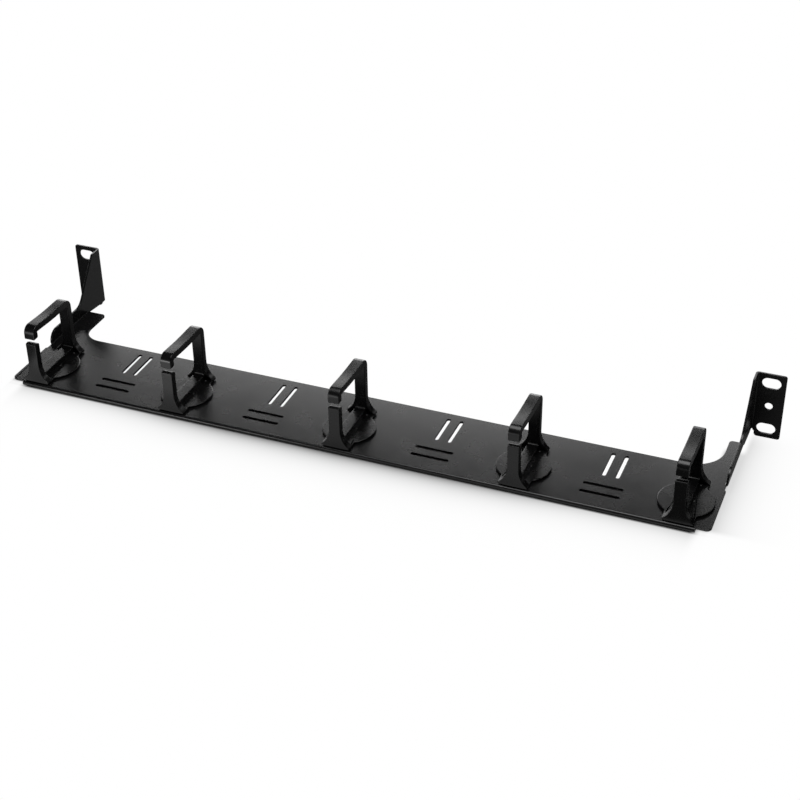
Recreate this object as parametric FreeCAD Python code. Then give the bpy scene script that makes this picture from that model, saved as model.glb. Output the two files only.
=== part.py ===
import FreeCAD, Part
import math
import os

os.makedirs("parts", exist_ok=True)

# Horizontal cable manager for a 19-inch rack: one punched and folded steel panel that
# carries five moulded cable rings.  Millimetres, +Z up.  The panel's own origin is the
# middle of its front edge on the top face (X across, Y to the rear); everything is
# built there and moved at the end, so that the origin of the part lies on the rear face
# of the rack ears, on the centre line of the rack unit.

# ---- rack standard (EIA-310) ----
RACK_WIDTH = 482.6
UNIT_HEIGHT = 44.45
EAR_HOLE_SPAN = 465.1
EAR_HOLE_PITCH = 31.75

# ---- folded sheet ----
SHEET = 1.4
BEND_IN = 0.6
BEND_OUT = BEND_IN + SHEET
BODY_WIDTH = 448.2
REACH = 114.2
PANEL_DROP = 14.5
SHELF_DEPTH = 59.3
TAB_DEPTH = 91.0

HEM_INSET = 8.5
HEM_FLAP = 9.0
HEM_GAP = 0.2
CORNER_BACK = 0.4
CORNER_R = 3.3

RELIEF_FRONT = 40.5
RELIEF_REAR = 45.5
RELIEF_INSET = 1.0
RELIEF_R = 1.5
TAB_R = 2.2
RIGHT_TAB_WIDTH = 8.6
RIGHT_TAB_ARC = 19.0
LEFT_TAB_WIDTH = 14.9
LEFT_TAB_ARC = 13.2

# ---- upright arms, measured from the shelf's top face ----
ARM_LOW = 8.2
ARM_KNEE = 82.7
ARM_KNEE_R = 9.0
ARM_SLANT_TOP = 104.3
ARM_TOE_R = 7.5
ARM_TOP_R = 1.0
ARM_HEEL = 107.0
ARM_HEEL_DROP = 1.6

# ---- rack ears ----
EAR_SLOT_LENGTH = 11.4
EAR_SLOT_WIDTH = 7.1
EAR_MID_HOLE = 4.8
EAR_R = 1.5
EAR_FOOT_R = 2.0
EAR_FOOT_INSET = 1.6
EAR_NOTCH = 3.6

# ---- tie slots in the shelf ----
SLOT_LENGTH = 23.8
SLOT_WIDTH = 2.5
CROSS_SLOT_Y = (11.75, 19.75)
CROSS_SLOT_OFFSET = 0.4
LONG_SLOT_OFFSETS = (-2.4, 5.7)
LONG_SLOT_Y = 41.85

# ---- cable rings ----
RING_PITCH = 110.1
RING_END_INSET = 18.3
RING_SHIFT = -0.6
RING_Y = 22.1
RING_DEPTH = 43.8
RING_HEIGHT = 40.1
TOP_RISE = 1.0
RING_WIDTH = 7.0
FRONT_POST = 4.8
REAR_POST = 4.4
TOP_BAR = 4.4
BEAM_TOP = 4.6
POST_FRONT_Z = 28.1
POST_CREST_Z = 28.5
POST_CREST_BACK = 2.4
POST_REAR_Z = 27.2
HOOK_BOTTOM = 31.6
HOOK_OUTER_R = 5.0
HOOK_INNER_R = 1.3
TOP_REAR_R = 5.6
POST_TOP_R = 0.7
BEAM_END_R = 0.7

FLARE_R = 13.0
FRONT_FLARE_TOP = 12.2
FRONT_FOOT_WIDTH = 17.4
REAR_FLARE_TOP = 12.5
REAR_FOOT_WIDTH = 18.2
FOOT_END_R = 0.6

BASE_THICK = 1.4
BASE_DISC = 32.6
BASE_WIDTH = 18.0
BASE_CORNER_R = 1.2
BASE_NECK_R = 3.0
BASE_BEVEL = 1.1

# ---- quarter-turn fixing under each ring ----
BOSS_DIAMETER = 10.0
BOSS_CLEARANCE = 0.3
LUG_LENGTH = 17.0
LUG_WIDTH = 4.0
LUG_THICK = 1.4
LUG_PLAY = 0.1

HALF_BODY = BODY_WIDTH / 2
HALF_HEM = HALF_BODY - HEM_INSET
HALF_RING = RING_DEPTH / 2
RING_END = HALF_BODY - RING_END_INSET
RING_X = [RING_SHIFT + x for x in (-RING_END, -RING_PITCH, 0, RING_PITCH, RING_END)]
EAR_BOTTOM = PANEL_DROP - UNIT_HEIGHT / 2
EAR_TOP = PANEL_DROP + UNIT_HEIGHT / 2
EAR_FRONT = REACH - SHEET
BEND_LINE = HALF_BODY - BEND_OUT

V = FreeCAD.Vector


# ---- drawing helpers ----
def on_top(a, b):
    return V(a, b, 0)


def lengthwise(a, b):
    return V(-b, a, 0)


def on_side(a, b):
    return V(0, a, b)


def on_front(a, b):
    return V(a, 0, b)


def rounding(before, corner, after):
    """Start, middle and end of the arc that rounds a corner given as (a, b, radius)."""
    p = V(corner[0], corner[1], 0)
    to_a = (V(before[0], before[1], 0) - p).normalize()
    to_b = (V(after[0], after[1], 0) - p).normalize()
    radius = corner[2]
    if radius == 0:
        return p, None, p
    half = to_a.getAngle(to_b) / 2
    run = radius / math.tan(half)
    centre = p + (to_a + to_b).normalize() * (radius / math.sin(half))
    middle = centre + (p - centre).normalize() * radius
    return p + to_a * run, middle, p + to_b * run


def outline(corners, plane):
    """Closed wire through (a, b, radius) corners, laid out in the given plane."""
    count = len(corners)
    arcs = [rounding(corners[i - 1], corners[i], corners[(i + 1) % count]) for i in range(count)]
    edges = []
    for i, (start, middle, end) in enumerate(arcs):
        if middle is not None:
            points = [plane(q.x, q.y) for q in (start, middle, end)]
            edges.append(Part.Arc(*points).toShape())
        following = arcs[(i + 1) % count][0]
        if (following - end).Length > 1e-6:
            edges.append(Part.makeLine(plane(end.x, end.y), plane(following.x, following.y)))
    return Part.Wire(edges)


def plate(corners, plane, start, depth):
    """Flat plate from an outline, moved by `start` and drawn out along `depth`."""
    shape = Part.Face(outline(corners, plane)).extrude(depth)
    shape.translate(start)
    return shape


def mirrored(corners):
    """The same outline on the other side of the middle plane."""
    return [(-a, b, r) for a, b, r in reversed(corners)]


def obround(length, width, plane, start, depth):
    """Slot body with round ends, its length along the first axis of the plane."""
    end = (length - width) / 2
    side = width / 2
    tip = length / 2
    edges = [
        Part.makeLine(plane(-end, -side), plane(end, -side)),
        Part.Arc(plane(end, -side), plane(tip, 0), plane(end, side)).toShape(),
        Part.makeLine(plane(end, side), plane(-end, side)),
        Part.Arc(plane(-end, side), plane(-tip, 0), plane(-end, -side)).toShape(),
    ]
    shape = Part.Face(Part.Wire(edges)).extrude(depth)
    shape.translate(start)
    return shape


def quarter_bend(centre, axis, length):
    """Quarter of a tube: the sheet where it turns through a right angle."""
    outer = Part.makeCylinder(BEND_OUT, length, centre, axis, 90)
    inner = Part.makeCylinder(BEND_IN, length, centre, axis, 90)
    bend = outer.cut(inner)
    bend.rotate(centre, axis, 90)
    return bend


# ---- folded sheet ----
def shelf_half(tab_width, tab_arc):
    """Right half of the shelf's outline, from the hem end round to the rear edge."""
    tab_inner = HALF_BODY - tab_width
    return [
        (HALF_HEM, 0, 0),
        (HALF_HEM, CORNER_BACK, 0),
        (HALF_BODY, CORNER_BACK, CORNER_R),
        (HALF_BODY, RELIEF_FRONT, RELIEF_R),
        (HALF_BODY - RELIEF_INSET, RELIEF_FRONT, 0),
        (HALF_BODY - RELIEF_INSET, RELIEF_REAR, 0),
        (BEND_LINE, RELIEF_REAR, 0),
        (BEND_LINE, TAB_DEPTH, 0),
        (tab_inner, TAB_DEPTH, TAB_R),
        (tab_inner, SHELF_DEPTH, tab_arc),
    ]


def shelf():
    """Flat top of the panel with its two rear tabs."""
    right = shelf_half(RIGHT_TAB_WIDTH, RIGHT_TAB_ARC)
    left = mirrored(shelf_half(LEFT_TAB_WIDTH, LEFT_TAB_ARC))
    return plate(right + left, on_top, V(0, 0, -SHEET), V(0, 0, SHEET))


def hem():
    """Front edge folded flat under the shelf: the round nose and the flap behind it."""
    radius = SHEET + HEM_GAP / 2
    start = V(-HALF_HEM, 0, -radius)
    length = 2 * HALF_HEM
    nose = Part.makeCylinder(radius, length, start, V(1, 0, 0), 180)
    nose = nose.cut(Part.makeCylinder(HEM_GAP / 2, length, start, V(1, 0, 0), 180))
    corners = [
        (-HALF_HEM, 0, 0),
        (HALF_HEM, 0, 0),
        (HALF_HEM, HEM_FLAP, CORNER_R),
        (-HALF_HEM, HEM_FLAP, CORNER_R),
    ]
    flap = plate(corners, on_top, V(0, 0, -2 * radius), V(0, 0, SHEET))
    return [nose, flap]


def arm():
    """Right upright arm: low behind the ring, slanting up to the rack ear."""
    ear_bend = EAR_FRONT - BEND_IN
    heel = -SHEET - ARM_HEEL_DROP
    corners = [
        (RELIEF_REAR, BEND_IN, 0),
        (TAB_DEPTH, BEND_IN, 0),
        (TAB_DEPTH, -SHEET, 0),
        (ARM_HEEL, heel, 0),
        (ear_bend, heel, 0),
        (ear_bend, EAR_TOP, 0),
        (ARM_SLANT_TOP, EAR_TOP, ARM_TOP_R),
        (ARM_KNEE, ARM_LOW, ARM_KNEE_R),
        (RELIEF_REAR, ARM_LOW, ARM_TOE_R),
    ]
    upright = plate(corners, on_side, V(HALF_BODY - SHEET, 0, 0), V(SHEET, 0, 0))
    run = TAB_DEPTH - RELIEF_REAR
    low_bend = quarter_bend(V(BEND_LINE, RELIEF_REAR, BEND_IN), V(0, 1, 0), run)
    rise = EAR_TOP - heel
    high_bend = quarter_bend(V(HALF_BODY + BEND_IN, ear_bend, heel), V(0, 0, 1), rise)
    return [upright, low_bend, high_bend]


def ear():
    """Right rack ear, one rack unit high; its foot hangs free of the arm."""
    inner = HALF_BODY + BEND_IN
    free = HALF_BODY + EAR_FOOT_INSET
    corners = [
        (inner, EAR_TOP, 0),
        (inner, -EAR_NOTCH, 0),
        (free, -EAR_NOTCH - 1, 0),
        (free, EAR_BOTTOM, EAR_FOOT_R),
        (RACK_WIDTH / 2, EAR_BOTTOM, EAR_R),
        (RACK_WIDTH / 2, EAR_TOP, EAR_R),
    ]
    return plate(corners, on_front, V(0, EAR_FRONT, 0), V(0, SHEET, 0))


def ear_cuts():
    """Two rack-screw slots and the small middle hole of the right ear."""
    x = EAR_HOLE_SPAN / 2
    y = EAR_FRONT - 1
    depth = V(0, SHEET + 2, 0)
    cuts = [Part.makeCylinder(EAR_MID_HOLE / 2, SHEET + 2, V(x, y, PANEL_DROP), V(0, 1, 0))]
    for side in (-1, 1):
        z = PANEL_DROP + side * EAR_HOLE_PITCH / 2
        cuts.append(obround(EAR_SLOT_LENGTH, EAR_SLOT_WIDTH, on_front, V(x, y, z), depth))
    return cuts


def slot_cuts():
    """Tie slots midway between neighbouring rings: two across and two lengthwise."""
    cuts = []
    below = -SHEET - 1
    depth = V(0, 0, SHEET + 2)
    for left, right in zip(RING_X, RING_X[1:]):
        middle = (left + right) / 2
        for y in CROSS_SLOT_Y:
            start = V(middle + CROSS_SLOT_OFFSET, y, below)
            cuts.append(obround(SLOT_LENGTH, SLOT_WIDTH, on_top, start, depth))
        for offset in LONG_SLOT_OFFSETS:
            start = V(middle + offset, LONG_SLOT_Y, below)
            cuts.append(obround(SLOT_LENGTH, SLOT_WIDTH, lengthwise, start, depth))
    return cuts


def key_cuts():
    """Keyhole under each ring: round for the boss, with a cross slot for its lugs."""
    cuts = []
    below = -SHEET - 1
    depth = SHEET + 2
    length = LUG_LENGTH + 2 * BOSS_CLEARANCE
    width = LUG_WIDTH + 2 * BOSS_CLEARANCE
    for x in RING_X:
        start = V(x, RING_Y, below)
        cuts.append(Part.makeCylinder(BOSS_DIAMETER / 2 + BOSS_CLEARANCE, depth, start))
        corner = V(x - length / 2, RING_Y - width / 2, below)
        cuts.append(Part.makeBox(length, width, depth, corner))
    return cuts


def panel():
    """The whole folded sheet as one solid."""
    right = arm() + [ear().cut(ear_cuts())]
    left = [piece.mirror(V(0, 0, 0), V(1, 0, 0)) for piece in right]
    sheet = shelf().multiFuse(hem() + right + left)
    return sheet.cut(slot_cuts() + key_cuts()).removeSplitter()


# ---- cable ring, in its own frame: base centre on the shelf's top face ----
def hoop():
    """C-shaped band seen from the side; its top bar rises a little to the free hook."""
    front = -HALF_RING
    post_back = front + FRONT_POST
    rear = HALF_RING
    post_front = rear - REAR_POST
    bottom = BASE_THICK / 2
    corners = [
        (front, bottom, 0),
        (rear, bottom, 0),
        (rear, RING_HEIGHT - TOP_RISE, TOP_REAR_R),
        (front, RING_HEIGHT, HOOK_OUTER_R),
        (front, HOOK_BOTTOM, 0),
        (post_back, HOOK_BOTTOM, HOOK_INNER_R),
        (post_back, RING_HEIGHT - TOP_BAR, 0),
        (post_front, RING_HEIGHT - TOP_RISE - TOP_BAR, 0),
        (post_front, BEAM_TOP, BEAM_END_R),
        (post_back, BEAM_TOP, BEAM_END_R),
        (post_back, POST_REAR_Z, POST_TOP_R),
        (front + POST_CREST_BACK, POST_CREST_Z, 0),
        (front, POST_FRONT_Z, POST_TOP_R),
    ]
    return plate(corners, on_side, V(-RING_WIDTH / 2, 0, 0), V(RING_WIDTH, 0, 0))


def foot(width, top, y, thick):
    """Flared foot of a post: two long hollow curves down to short upright ends."""
    neck = RING_WIDTH / 2
    half = width / 2
    reach = math.sqrt(FLARE_R ** 2 - (neck + FLARE_R - half) ** 2)
    end = top - reach
    turn = math.asin(reach / FLARE_R) / 2
    mid_x = neck + FLARE_R * (1 - math.cos(turn))
    mid_z = top - FLARE_R * math.sin(turn)
    bottom = BASE_THICK / 2
    right = Part.Arc(on_front(neck, top), on_front(mid_x, mid_z), on_front(half, end))
    left = Part.Arc(on_front(-half, end), on_front(-mid_x, mid_z), on_front(-neck, top))
    edges = [
        right.toShape(),
        Part.makeLine(on_front(half, end), on_front(half, bottom)),
        Part.makeLine(on_front(half, bottom), on_front(-half, bottom)),
        Part.makeLine(on_front(-half, bottom), on_front(-half, end)),
        left.toShape(),
        Part.makeLine(on_front(-neck, top), on_front(neck, top)),
    ]
    shape = Part.Face(Part.Wire(edges)).extrude(V(0, thick, 0))
    ends = [edge for edge in shape.Edges if is_corner(edge, half, end)]
    shape = shape.makeFillet(FOOT_END_R, ends)
    shape.translate(V(0, y, 0))
    return shape


def is_corner(edge, half, height):
    """True for the two edges that run along Y where a foot's curve ends."""
    middle = edge.CenterOfMass
    return abs(abs(middle.x) - half) < 1e-3 and abs(middle.z - height) < 1e-3


def base():
    """Round plate with a square-ended strip across it, bevelled back underneath."""
    disc = Part.makeCylinder(BASE_DISC / 2, BASE_THICK)
    half = BASE_WIDTH / 2
    corners = [
        (-half, -HALF_RING, BASE_CORNER_R),
        (half, -HALF_RING, BASE_CORNER_R),
        (half, HALF_RING, BASE_CORNER_R),
        (-half, HALF_RING, BASE_CORNER_R),
    ]
    strip = plate(corners, on_top, V(0, 0, 0), V(0, 0, BASE_THICK))
    shape = disc.fuse(strip).removeSplitter()
    neck_y = math.sqrt((BASE_DISC / 2) ** 2 - half ** 2)
    necks = []
    for edge in shape.Edges:
        middle = edge.CenterOfMass
        if abs(abs(middle.x) - half) < 1e-3 and abs(abs(middle.y) - neck_y) < 1e-3:
            necks.append(edge)
    shape = shape.makeFillet(BASE_NECK_R, necks)
    rim = [edge for edge in shape.Edges if edge.BoundBox.ZMax < 1e-6]
    return shape.makeChamfer(BASE_BEVEL, rim)


def fixing():
    """Boss and two lugs below the base; a quarter turn draws the lugs under the sheet."""
    low = -SHEET - LUG_PLAY - LUG_THICK
    boss = Part.makeCylinder(BOSS_DIAMETER / 2, BASE_THICK / 2 - low, V(0, 0, low))
    corner = V(-LUG_WIDTH / 2, -LUG_LENGTH / 2, low)
    return [boss, Part.makeBox(LUG_WIDTH, LUG_LENGTH, LUG_THICK, corner)]


def ring():
    """One moulded ring, standing on the shelf with its gap to the front."""
    front = foot(FRONT_FOOT_WIDTH, FRONT_FLARE_TOP, -HALF_RING, FRONT_POST)
    rear = foot(REAR_FOOT_WIDTH, REAR_FLARE_TOP, HALF_RING - REAR_POST, REAR_POST)
    return hoop().multiFuse([front, rear, base()] + fixing()).removeSplitter()


def export(shape, name):
    """Move a piece from the panel's own origin to the rack mount and write it."""
    shape.translate(V(0, -REACH, -PANEL_DROP))
    shape.exportStep("parts/" + name + ".step")


export(panel(), "panel")
for number, x in enumerate(RING_X, 1):
    one = ring()
    one.translate(V(x, RING_Y, 0))
    export(one, "ring_%d" % number)
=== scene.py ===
import math

import bmesh
import bpy
from mathutils import Matrix, Vector


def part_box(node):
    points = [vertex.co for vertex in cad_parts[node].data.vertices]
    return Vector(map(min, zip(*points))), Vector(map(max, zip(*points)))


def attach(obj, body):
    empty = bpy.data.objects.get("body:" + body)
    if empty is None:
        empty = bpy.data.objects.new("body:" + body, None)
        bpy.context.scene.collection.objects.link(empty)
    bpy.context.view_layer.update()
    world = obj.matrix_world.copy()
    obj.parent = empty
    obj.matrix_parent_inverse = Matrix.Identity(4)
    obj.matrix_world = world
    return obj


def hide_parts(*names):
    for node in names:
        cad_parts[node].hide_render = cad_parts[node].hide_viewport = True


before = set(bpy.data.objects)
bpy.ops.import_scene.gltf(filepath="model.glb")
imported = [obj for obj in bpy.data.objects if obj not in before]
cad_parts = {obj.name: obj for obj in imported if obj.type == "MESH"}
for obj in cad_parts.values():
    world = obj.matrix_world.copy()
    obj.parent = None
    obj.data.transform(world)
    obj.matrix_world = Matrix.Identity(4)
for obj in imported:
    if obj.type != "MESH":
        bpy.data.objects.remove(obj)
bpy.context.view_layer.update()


# ---------------------------------------------------------------------------------------
# The panel: one sheet of steel, punched, hemmed along its front edge and folded up into
# two side arms with rack ears, then powder coated satin black.  The coating rounds every
# outer edge a little, so the skin is the sheet itself with its edges eased.
# ---------------------------------------------------------------------------------------
MM = 0.001
SHEET = 1.4 * MM
SHEET_EASE = 0.2 * MM
HEM_ROUND = 1.5 * MM
SHELF_TOP = -14.5 * MM
SHELF_FRONT = -114.2 * MM
panel_low, panel_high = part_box("panel")

SLOTS_HALF_WIDTH = 195 * MM
SLOTS_START = 8 * MM
SLOTS_END = 56 * MM

SEAM_GAP = 0.001 * MM
STILL_FLAT = math.radians(0.5)
SHARP_CORNER = math.radians(40)

NOISE_SPAN = (0.3, 0.7)
PEEL_GRAIN = 900
PEEL_STRENGTH = 0.45
PEEL_DEPTH = 0.04 * MM
GRIT_GRAIN = 2600
GRIT_SHARE = 0.4
CLOUD_GRAIN = 60
POWDER_GLOSS = (0.25, 0.28)
POWDER_DARK = (0.0025, 0.0025, 0.0026, 1)
POWDER_LIGHT = (0.004, 0.004, 0.0042, 1)


def joined_skin(node, name):
    """A copy of a frame node with its seams closed and its flat faces made whole again."""
    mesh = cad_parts[node].data.copy()
    mesh.name = name
    work = bmesh.new()
    work.from_mesh(mesh)
    bmesh.ops.remove_doubles(work, verts=work.verts, dist=SEAM_GAP)
    bmesh.ops.dissolve_limit(work, angle_limit=STILL_FLAT, verts=work.verts, edges=work.edges)
    work.to_mesh(mesh)
    work.free()
    skin = bpy.data.objects.new(name, mesh)
    bpy.context.scene.collection.objects.link(skin)
    return skin


def apply_modifiers(skin):
    """Make the modifiers of a skin part of its mesh."""
    bpy.context.view_layer.objects.active = skin
    skin.select_set(True)
    for modifier in list(skin.modifiers):
        bpy.ops.object.modifier_apply(modifier=modifier.name)
    skin.select_set(False)


def ease_edges(skin, width, weight_of, segments):
    """Round the edges that weight_of picks and keep the flat faces flat in the light."""
    mesh = skin.data
    work = bmesh.new()
    work.from_mesh(mesh)
    layer = work.edges.layers.float.new("bevel_weight_edge")
    for edge in work.edges:
        if len(edge.link_faces) == 2:
            edge[layer] = weight_of(edge)
    work.to_mesh(mesh)
    work.free()
    bevel = skin.modifiers.new("eased_edges", "BEVEL")
    bevel.limit_method = "WEIGHT"
    bevel.width = width
    bevel.segments = segments
    bevel.use_clamp_overlap = False
    apply_modifiers(skin)
    bpy.context.view_layer.objects.active = skin
    skin.select_set(True)
    bpy.ops.object.shade_smooth_by_angle(angle=SHARP_CORNER)
    skin.select_set(False)
    weighted = skin.modifiers.new("flat_faces", "WEIGHTED_NORMAL")
    weighted.mode = "FACE_AREA"
    weighted.weight = 50
    weighted.keep_sharp = True
    apply_modifiers(skin)


def sheet_edge(edge):
    """Sharp convex corners are eased; the narrow punched tie slots stay crisp."""
    middle = (edge.verts[0].co + edge.verts[1].co) / 2
    across = abs(middle.x) < SLOTS_HALF_WIDTH
    along = SLOTS_START < middle.y - SHELF_FRONT < SLOTS_END
    in_shelf = SHELF_TOP - 1.5 * SHEET < middle.z < SHELF_TOP + 0.5 * SHEET
    if across and along and in_shelf:
        return 0.0
    return 1.0 if edge.calc_face_angle_signed(0) > SHARP_CORNER else 0.0


def new_material(name):
    """A new material, with its nodes, its links and its shader."""
    material = bpy.data.materials.new(name)
    material.use_nodes = True
    tree = material.node_tree
    return material, tree.nodes, tree.links, tree.nodes["Principled BSDF"]


def noise(nodes, links, scale, detail):
    """Noise with so many grains to the metre, fixed to the piece."""
    where = nodes.new("ShaderNodeTexCoord")
    texture = nodes.new("ShaderNodeTexNoise")
    texture.inputs["Scale"].default_value = scale
    texture.inputs["Detail"].default_value = detail
    links.new(where.outputs["Object"], texture.inputs["Vector"])
    return texture.outputs["Fac"]


def uneven_gloss(nodes, links, shader, pattern, limits):
    """Let the roughness wander between two values with a noise pattern."""
    gloss = nodes.new("ShaderNodeMapRange")
    gloss.inputs["From Min"].default_value = NOISE_SPAN[0]
    gloss.inputs["From Max"].default_value = NOISE_SPAN[1]
    gloss.inputs["To Min"].default_value = limits[0]
    gloss.inputs["To Max"].default_value = limits[1]
    links.new(pattern, gloss.inputs["Value"])
    links.new(gloss.outputs["Result"], shader.inputs["Roughness"])


def fine_relief(nodes, links, shader, height, strength, depth):
    """Raise the surface by a noise pattern."""
    bump = nodes.new("ShaderNodeBump")
    bump.inputs["Strength"].default_value = strength
    bump.inputs["Distance"].default_value = depth
    links.new(height, bump.inputs["Height"])
    links.new(bump.outputs["Normal"], shader.inputs["Normal"])


def two_tones(nodes, links, pattern, first, second):
    """Colour that wanders between two tones with a noise pattern."""
    tone = nodes.new("ShaderNodeMix")
    tone.data_type = "RGBA"
    tone.inputs[6].default_value = first
    tone.inputs[7].default_value = second
    links.new(pattern, tone.inputs[0])
    return tone.outputs[2]


def powder_coat():
    """Satin black powder coat: a fine orange-peel texture with slightly uneven gloss."""
    material, nodes, links, shader = new_material("powder_coat_black")
    peel = noise(nodes, links, PEEL_GRAIN, 3)
    grit = noise(nodes, links, GRIT_GRAIN, 1)
    relief = nodes.new("ShaderNodeMath")
    relief.operation = "MULTIPLY_ADD"
    relief.inputs[1].default_value = GRIT_SHARE
    links.new(grit, relief.inputs[0])
    links.new(peel, relief.inputs[2])
    fine_relief(nodes, links, shader, relief.outputs[0], PEEL_STRENGTH, PEEL_DEPTH)
    uneven_gloss(nodes, links, shader, noise(nodes, links, CLOUD_GRAIN, 4), POWDER_GLOSS)
    links.new(two_tones(nodes, links, grit, POWDER_DARK, POWDER_LIGHT), shader.inputs["Base Color"])
    return material


panel_skin = joined_skin("panel", "panel_skin")
ease_edges(panel_skin, SHEET_EASE, sheet_edge, segments=2)
for vertex in panel_skin.data.vertices:
    vertex.co.y = min(vertex.co.y, panel_high.y)
panel_skin.data.materials.clear()
panel_skin.data.materials.append(powder_coat())
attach(panel_skin, "root")
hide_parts("panel")


# ---------------------------------------------------------------------------------------
# The five cable rings: black injection-moulded hoops on a round base, locked into the
# shelf with a quarter turn.  The mould leaves soft edges on the hoop and a crisp rim on
# the base plate, and the top bar has sunk a little between its two ends in cooling.
# ---------------------------------------------------------------------------------------
RING_EASE = 0.45 * MM
BASE_RIM_SHARE = 0.9
PLATE_THICK = 1.4 * MM
SOFT_CORNER = math.radians(30)
LEVEL_PLAY = 0.01 * MM
plate_top = SHELF_TOP + PLATE_THICK

BAR_SINK = 0.4 * MM
BAR_SINK_POWER = 1.5
HOOK_DEPTH = 5.2 * MM
REAR_CORNER_DEPTH = 5.8 * MM
BAR_DEPTH = 6.5 * MM
BAR_STEPS = 14
CUT_PLAY = 0.0005 * MM

PIP_RADIUS = 0.9 * MM
PIP_HEIGHT = 0.5 * MM
PIP_PLACES = ((-4.4, 22.0), (4.4, 22.0), (-4.6, 38.3), (4.6, 38.3))

PLASTIC_GRAIN = 2400
PLASTIC_STRENGTH = 0.03
PLASTIC_DEPTH = 0.015 * MM
FLOW_GRAIN = 130
PLASTIC_GLOSS = (0.24, 0.30)
PLASTIC_BLACK = (0.002, 0.002, 0.0021, 1)


def ring_edge(edge):
    """Weights for a ring: full on the hoop, less on the base rim, none underneath."""
    low = min(v.co.z for v in edge.verts)
    high = max(v.co.z for v in edge.verts)
    if edge.calc_face_angle_signed(0) < SOFT_CORNER or low < plate_top - LEVEL_PLAY:
        return 0.0
    return BASE_RIM_SHARE if high < plate_top + LEVEL_PLAY else 1.0


def sink_bar(skin, low, high):
    """Let the straight top bar of a ring dip between its hook and its rear post."""
    front = low.y + HOOK_DEPTH
    rear = high.y - REAR_CORNER_DEPTH
    underside = high.z - BAR_DEPTH
    work = bmesh.new()
    work.from_mesh(skin.data)
    for i in range(BAR_STEPS + 1):
        y = front + (rear - front) * i / BAR_STEPS
        part = [f for f in work.faces if min(v.co.z for v in f.verts) > underside]
        edges = list({e for f in part for e in f.edges})
        verts = list({v for f in part for v in f.verts})
        bmesh.ops.bisect_plane(work, geom=verts + edges + part, dist=CUT_PLAY,
                               plane_co=(0, y, 0), plane_no=(0, 1, 0))
    for v in work.verts:
        if v.co.z > underside and front < v.co.y < rear:
            t = (v.co.y - front) / (rear - front)
            v.co.z -= BAR_SINK * math.sin(math.pi * t) ** BAR_SINK_POWER
    work.to_mesh(skin.data)
    work.free()


def add_pips(skin, middle):
    """Four small moulded domes on the base plate, beside the feet of the hoop."""
    work = bmesh.new()
    work.from_mesh(skin.data)
    dome = Matrix.Diagonal((PIP_RADIUS, PIP_RADIUS, PIP_HEIGHT, 1))
    for across, along in PIP_PLACES:
        spot = (middle + across * MM, SHELF_FRONT + along * MM, plate_top)
        made = bmesh.ops.create_uvsphere(work, u_segments=24, v_segments=12, radius=1,
                                         matrix=Matrix.Translation(spot) @ dome)
        for face in {f for v in made["verts"] for f in v.link_faces}:
            face.smooth = True
    work.to_mesh(skin.data)
    work.free()


def ring_plastic():
    """Black moulded plastic with a fine, slightly glossy grain."""
    material, nodes, links, shader = new_material("ring_plastic_black")
    grain = noise(nodes, links, PLASTIC_GRAIN, 2)
    fine_relief(nodes, links, shader, grain, PLASTIC_STRENGTH, PLASTIC_DEPTH)
    uneven_gloss(nodes, links, shader, noise(nodes, links, FLOW_GRAIN, 3), PLASTIC_GLOSS)
    shader.inputs["Base Color"].default_value = PLASTIC_BLACK
    return material


plastic = ring_plastic()
for number in range(1, 6):
    node = "ring_%d" % number
    ring_low, ring_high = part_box(node)
    ring = joined_skin(node, node + "_moulding")
    sink_bar(ring, ring_low, ring_high)
    ease_edges(ring, RING_EASE, ring_edge, segments=4)
    add_pips(ring, (ring_low.x + ring_high.x) / 2)
    ring.data.materials.clear()
    ring.data.materials.append(plastic)
    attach(ring, "root")
    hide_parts(node)


# ---------------------------------------------------------------------------------------
# The floor: paper that glows pure white where it is looked at, and shows its own grey
# shading only in a painted shadow round the part.  The part stands on the round of its hem
# and on the feet of its rack ears, so the paper slopes back a little under it.
# ---------------------------------------------------------------------------------------
PAPER_HALF = 12.0
PAPER_GAP = 0.05 * MM
PAPER_GRAIN = 400
# Grey tones of the paper: they are seen only inside the painted shadow, where they set how deep it is.
PAPER_SHADOW_TONES = ((0.29, 0.29, 0.29, 1), (0.32, 0.32, 0.32, 1))
hem_low = Vector((0, SHELF_FRONT, SHELF_TOP - 2 * HEM_ROUND))
ear_low = Vector((0, panel_high.y - SHEET, panel_low.z))
slope = math.atan2(ear_low.z - hem_low.z, ear_low.y - hem_low.y)

# Painted shadow round the part: its half width across, and how fast it fades ahead of the hem and to the
# right and left.
SHADOW_HALF = 225.5 * MM
FADE_AHEAD = 8.2 * MM
FADE_RIGHT = 9.5 * MM
FADE_LEFT = 0.6 * MM


def paper_sheet():
    """Wide white sheet that touches the hem and the feet of the ears."""
    mesh = bpy.data.meshes.new("paper")
    half = PAPER_HALF
    corners = [(-half, -half, 0), (half, -half, 0), (half, half, 0), (-half, half, 0)]
    mesh.from_pydata(corners, [], [(0, 1, 2, 3)])
    sheet = bpy.data.objects.new("paper", mesh)
    sheet.location = hem_low - Vector((0, 0, PAPER_GAP))
    sheet.rotation_euler = (slope, 0, 0)
    bpy.context.scene.collection.objects.link(sheet)
    return sheet


def calculate(nodes, links, operation, first, second):
    """One maths node on two inputs, each a socket or a number."""
    node = nodes.new("ShaderNodeMath")
    node.operation = operation
    for socket, value in zip(node.inputs, (first, second)):
        if isinstance(value, (int, float)):
            socket.default_value = value
        else:
            links.new(value, socket)
    return node.outputs[0]


def fade(nodes, links, value, start, end):
    """Smooth step from 0 at start to 1 at end."""
    step = nodes.new("ShaderNodeMapRange")
    step.interpolation_type = "SMOOTHSTEP"
    step.inputs["From Min"].default_value = start
    step.inputs["From Max"].default_value = end
    links.new(value, step.inputs["Value"])
    return step.outputs["Result"]


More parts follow.
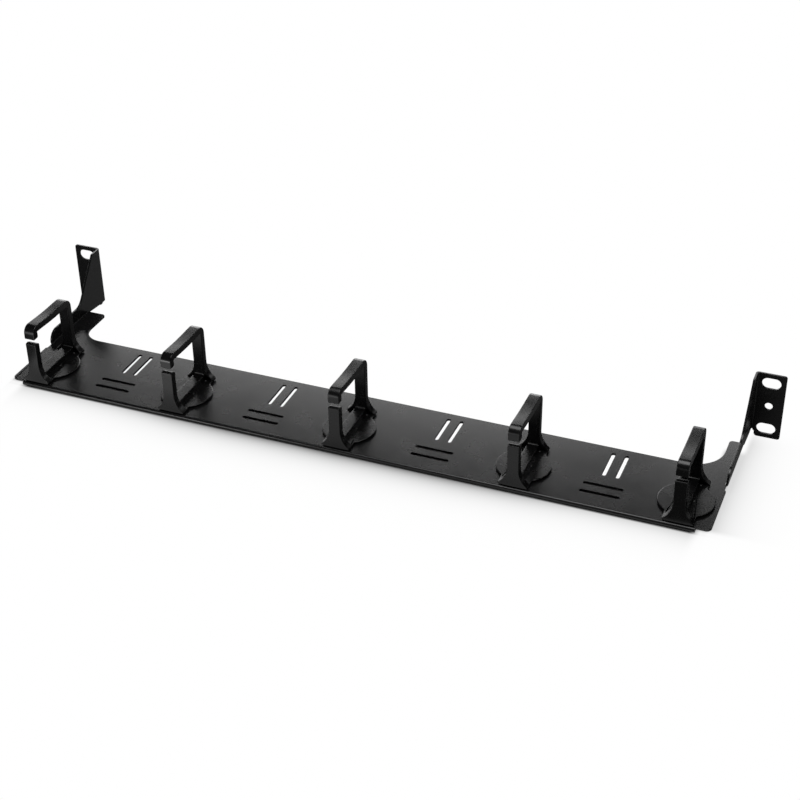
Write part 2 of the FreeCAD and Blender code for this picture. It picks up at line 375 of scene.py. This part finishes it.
def decay(nodes, links, distance, length):
    """1 up to distance 0, then falling off exponentially over a length."""
    ratio = calculate(nodes, links, "MAXIMUM", distance, 0)
    ratio = calculate(nodes, links, "MULTIPLY", ratio, -1 / length)
    return calculate(nodes, links, "EXPONENT", ratio, 0)


def painted_shadow_zone(nodes, links, across, behind):
    """Painted shadow: how far a point of the paper keeps its own shading, 1 under the shelf and 0 far from
    it, faded and cut in set bands.
    """
    def times(first, second):
        return calculate(nodes, links, "MULTIPLY", first, second)

    def step(value, start, end):
        return fade(nodes, links, value, start * MM, end * MM)

    ahead = calculate(nodes, links, "SUBTRACT", -HEM_ROUND, behind)
    right = calculate(nodes, links, "SUBTRACT", across, SHADOW_HALF)
    left = calculate(nodes, links, "SUBTRACT", times(across, -1), SHADOW_HALF)
    sideways = calculate(nodes, links, "ABSOLUTE", across, 0)
    zone = decay(nodes, links, ahead, FADE_AHEAD)
    zone = times(zone, decay(nodes, links, right, FADE_RIGHT))
    zone = times(zone, decay(nodes, links, left, FADE_LEFT))
    # Set bands that thin or cut the painted shadow towards the ends, beside the panel, in the bay, beyond
    # the ears, behind the tabs and at the corners.
    towards_ends = times(step(sideways, 60, 170), step(ahead, 0, 1.5))
    beside = step(right, -6, -2)
    bay = times(step(behind, 24, 31), step(times(right, -1), 9, 14))
    beyond_ears = step(behind, 100, 125)
    behind_tabs = times(step(behind, 86, 94), step(right, 2, -2))
    corners = times(step(sideways, 212, 219), step(ahead, -8, -2))
    cuts = ((towards_ends, 0.55), (beside, 0.65), (bay, 1), (beyond_ears, 1), (behind_tabs, 1),
            (corners, 0.9))
    for cut, depth in cuts:
        zone = times(zone, calculate(nodes, links, "SUBTRACT", 1, times(cut, depth)))
    return zone


def looked_at(nodes, links):
    """1 where a camera, glossy or transmission ray meets the surface, and 0 for the light."""
    path = nodes.new("ShaderNodeLightPath")
    seen = calculate(nodes, links, "MAXIMUM", path.outputs["Is Camera Ray"], path.outputs["Is Glossy Ray"])
    return calculate(nodes, links, "MAXIMUM", seen, path.outputs["Is Transmission Ray"])


def paper_glow_with_painted_shadow():
    """Paper that glows pure white where it is looked at away from the part; in a painted shadow round the
    part the glow fades and the paper's own lit grey shading shows.
    """
    material, nodes, links, _ = new_material("paper_glow_with_painted_shadow")
    nodes.clear()
    paper = nodes.new("ShaderNodeBsdfDiffuse")
    fibre = noise(nodes, links, PAPER_GRAIN, 2)
    links.new(two_tones(nodes, links, fibre, *PAPER_SHADOW_TONES), paper.inputs["Color"])
    glow = nodes.new("ShaderNodeEmission")
    glow.inputs["Strength"].default_value = 1.0
    where = nodes.new("ShaderNodeTexCoord")
    place = nodes.new("ShaderNodeSeparateXYZ")
    links.new(where.outputs["Object"], place.inputs[0])
    zone = painted_shadow_zone(nodes, links, place.outputs[0], place.outputs[1])
    # Painted shadow: the white glow shows only outside the zone, so the paper darkens towards the part.
    outside = calculate(nodes, links, "SUBTRACT", 1, zone)
    mix = nodes.new("ShaderNodeMixShader")
    links.new(calculate(nodes, links, "MULTIPLY", looked_at(nodes, links), outside), mix.inputs[0])
    links.new(paper.outputs[0], mix.inputs[1])
    links.new(glow.outputs[0], mix.inputs[2])
    out = nodes.new("ShaderNodeOutputMaterial")
    links.new(mix.outputs[0], out.inputs["Surface"])
    material.cycles.emission_sampling = "NONE"
    return material


floor = paper_sheet()
floor.data.materials.append(paper_glow_with_painted_shadow())


# ---------------------------------------------------------------------------------------
# Light: a white room with two low strips behind, a small one by the right rear tab, a soft
# box overhead and a low strip at the left front.  Cards give the part's gloss something
# darker to mirror: only reflections see them, but the edge card also holds back lamp light.
# ---------------------------------------------------------------------------------------
ROOM_LEVEL = 0.2

BLACK = 0.03
CHARCOAL = 0.08
GREY = 0.20
SILVER = 0.30
NET_COVER = 0.45

ROOM_FRONT = -1.3
ROOM_REAR = 0.95
ROOM_RIGHT = 0.9
ROOM_LOW = -0.1
CEILING = 1.02
CARD_HALF = 2.0
EDGE_Y = 0.31
EDGE_Z = 0.22
SLOPE_Y = -0.50
SLOPE_Z = 0.22
MAT_LIFT = 0.3 * MM


def room_white():
    """Even white room: pure white where it is looked at, a softer level as a lamp."""
    world = bpy.data.worlds.new("white_room")
    world.use_nodes = True
    nodes = world.node_tree.nodes
    links = world.node_tree.links
    extra = calculate(nodes, links, "MULTIPLY", looked_at(nodes, links), 1 - ROOM_LEVEL)
    level = calculate(nodes, links, "ADD", extra, ROOM_LEVEL)
    nodes["Background"].inputs["Color"].default_value = (1, 1, 1, 1)
    links.new(level, nodes["Background"].inputs["Strength"])
    world.cycles.sampling_method = "NONE"
    return world


def soft_box(name, place, aim, size, radiance, spread=180):
    """Area lamp turned towards a point, with its brightness there and its spread in degrees."""
    width, height = size
    lamp = bpy.data.lights.new(name, "AREA")
    lamp.shape = "RECTANGLE"
    lamp.size = width
    lamp.size_y = height
    lamp.spread = math.radians(spread)
    half = math.radians(spread) / 2
    gain = math.tan(half) / (math.tan(half) - half) if spread < 180 else 1
    lamp.energy = radiance * math.pi * width * height / gain
    holder = bpy.data.objects.new(name, lamp)
    holder.location = place
    holder.rotation_euler = (Vector(aim) - Vector(place)).to_track_quat("-Z", "Y").to_euler()
    holder.visible_camera = False
    bpy.context.scene.collection.objects.link(holder)


def card_paint(name, level, cover):
    """Matt card, or a net that lets part of the light through, with a faint grain."""
    material, nodes, links, shader = new_material(name)
    shader.inputs["Roughness"].default_value = 1.0
    shader.inputs["Specular IOR Level"].default_value = 0.0
    shader.inputs["Alpha"].default_value = cover
    grain = nodes.new("ShaderNodeTexNoise").outputs["Fac"]
    tones = [(level * share, level * share, level * share, 1) for share in (0.9, 1.1)]
    links.new(two_tones(nodes, links, grain, *tones), shader.inputs["Base Color"])
    return material


def card(name, paint, corners):
    """Flat card that only reflections see."""
    mesh = bpy.data.meshes.new(name)
    mesh.from_pydata(corners, [], [tuple(range(len(corners)))])
    mesh.materials.append(paint)
    sheet = bpy.data.objects.new(name, mesh)
    bpy.context.scene.collection.objects.link(sheet)
    sheet.visible_camera = False
    sheet.visible_diffuse = False
    sheet.visible_shadow = False
    sheet.visible_transmission = False
    return sheet


def wall(name, paint, left, right, first, second):
    """Card between two (y, z) lines across the width from left to right."""
    return card(name, paint, [(left, *first), (right, *first), (right, *second), (left, *second)])


def mat(name, paint, left, right, front, back):
    """Card lying just above the floor."""
    corners = []
    for x, y in ((left, front), (right, front), (right, back), (left, back)):
        corners.append((x, y, hem_low.z + (y - hem_low.y) * math.tan(slope) + MAT_LIFT))
    card(name, paint, corners)


bpy.context.scene.world = room_white()

soft_box("rear_strip", place=(-0.25, 0.62, 0.24), aim=(-0.01, -0.01, -0.006),
         size=(1.36, 0.42), radiance=1.95, spread=90)
soft_box("rear_strip_middle", place=(-0.40, 0.60, 0.24), aim=(-0.16, -0.03, -0.006),
         size=(0.78, 0.42), radiance=2.8, spread=90)
soft_box("tab_strip", place=(0.17, 0.30, 0.18), aim=(0.21, -0.04, SHELF_TOP),
         size=(0.12, 0.06), radiance=2.3)
soft_box("overhead_box", place=(0.12, -0.12, 1.0), aim=(0.12, -0.12, 0),
         size=(0.85, 0.70), radiance=3.8)
soft_box("low_front_strip", place=(-0.27, -0.46, 0.016), aim=(-0.27, -0.1, 0.016),
         size=(0.20, 0.034), radiance=14.0)

black = card_paint("card_black", BLACK, 1.0)
charcoal = card_paint("card_charcoal", CHARCOAL, 1.0)
grey = card_paint("card_grey", GREY, 1.0)
silver = card_paint("card_silver", SILVER, 1.0)
net = card_paint("card_net", BLACK, NET_COVER)

edge_card = wall("card_edge", black, -CARD_HALF, CARD_HALF, (EDGE_Y, EDGE_Z), (EDGE_Y, CEILING))
edge_card.visible_shadow = True
wall("card_rear", black, -CARD_HALF, CARD_HALF, (ROOM_REAR, ROOM_LOW), (ROOM_REAR, CEILING))
wall("card_top", black, -CARD_HALF, CARD_HALF, (EDGE_Y, CEILING), (SLOPE_Y, CEILING))
wall("card_front", silver, -CARD_HALF, CARD_HALF, (SLOPE_Y, CEILING), (ROOM_FRONT, SLOPE_Z))
wall("card_front_right", black, 0.0, CARD_HALF, (ROOM_FRONT, SLOPE_Z), (ROOM_FRONT, 0.0))
card("card_right", black, [(ROOM_RIGHT, ROOM_FRONT, ROOM_LOW), (ROOM_RIGHT, ROOM_REAR, ROOM_LOW),
                           (ROOM_RIGHT, ROOM_REAR, CEILING), (ROOM_RIGHT, ROOM_FRONT, CEILING)])
mat("mat_rear_left", grey, -0.235, -0.135, -0.020, 0.22)
mat("mat_rear", charcoal, -0.135, 0.235, -0.052, 0.22)
mat("mat_bay_left", charcoal, -0.235, -0.135, -0.052, -0.020)
mat("mat_under", black, -0.223, 0.223, -0.112, -0.052)
mat("mat_right", grey, 0.2255, 0.36, -0.119, 0.22)
mat("mat_left", charcoal, -0.36, -0.2255, -0.20, 0.22)
mat("mat_front_right", charcoal, 0.135, 0.36, ROOM_FRONT, -0.119)
mat("net_front", net, -0.05, 0.135, ROOM_FRONT, -0.119)
mat("net_hem", net, -0.2255, -0.05, -0.135, -0.119)


# ---------------------------------------------------------------------------------------
# Camera: a long lens from the right front, looking down on the shelf, turned a little
# about its own line of sight so that the shelf's front edge runs down to the right.
# ---------------------------------------------------------------------------------------
CAMERA_PLACE = (0.329918, -0.827593, 0.528745)
AZIMUTH = math.radians(22.017)
ELEVATION = math.radians(32.978)
ROLL = math.radians(-0.742)
FOCAL_LENGTH = 72.6
SENSOR_WIDTH = 36

back = Vector((math.sin(AZIMUTH) * math.cos(ELEVATION),
               -math.cos(AZIMUTH) * math.cos(ELEVATION),
               math.sin(ELEVATION)))
right = Vector((math.cos(AZIMUTH), math.sin(AZIMUTH), 0))
up = back.cross(right)
right_rolled = right * math.cos(ROLL) + up * math.sin(ROLL)
up_rolled = up * math.cos(ROLL) - right * math.sin(ROLL)
lens = bpy.data.cameras.new("camera")
lens.lens = FOCAL_LENGTH
lens.sensor_width = SENSOR_WIDTH
camera = bpy.data.objects.new("camera", lens)
turn = Matrix((right_rolled, up_rolled, back)).transposed()
camera.matrix_world = Matrix.Translation(CAMERA_PLACE) @ turn.to_4x4()
bpy.context.scene.collection.objects.link(camera)
bpy.context.scene.camera = camera
bpy.context.scene.view_settings.view_transform = "Standard"
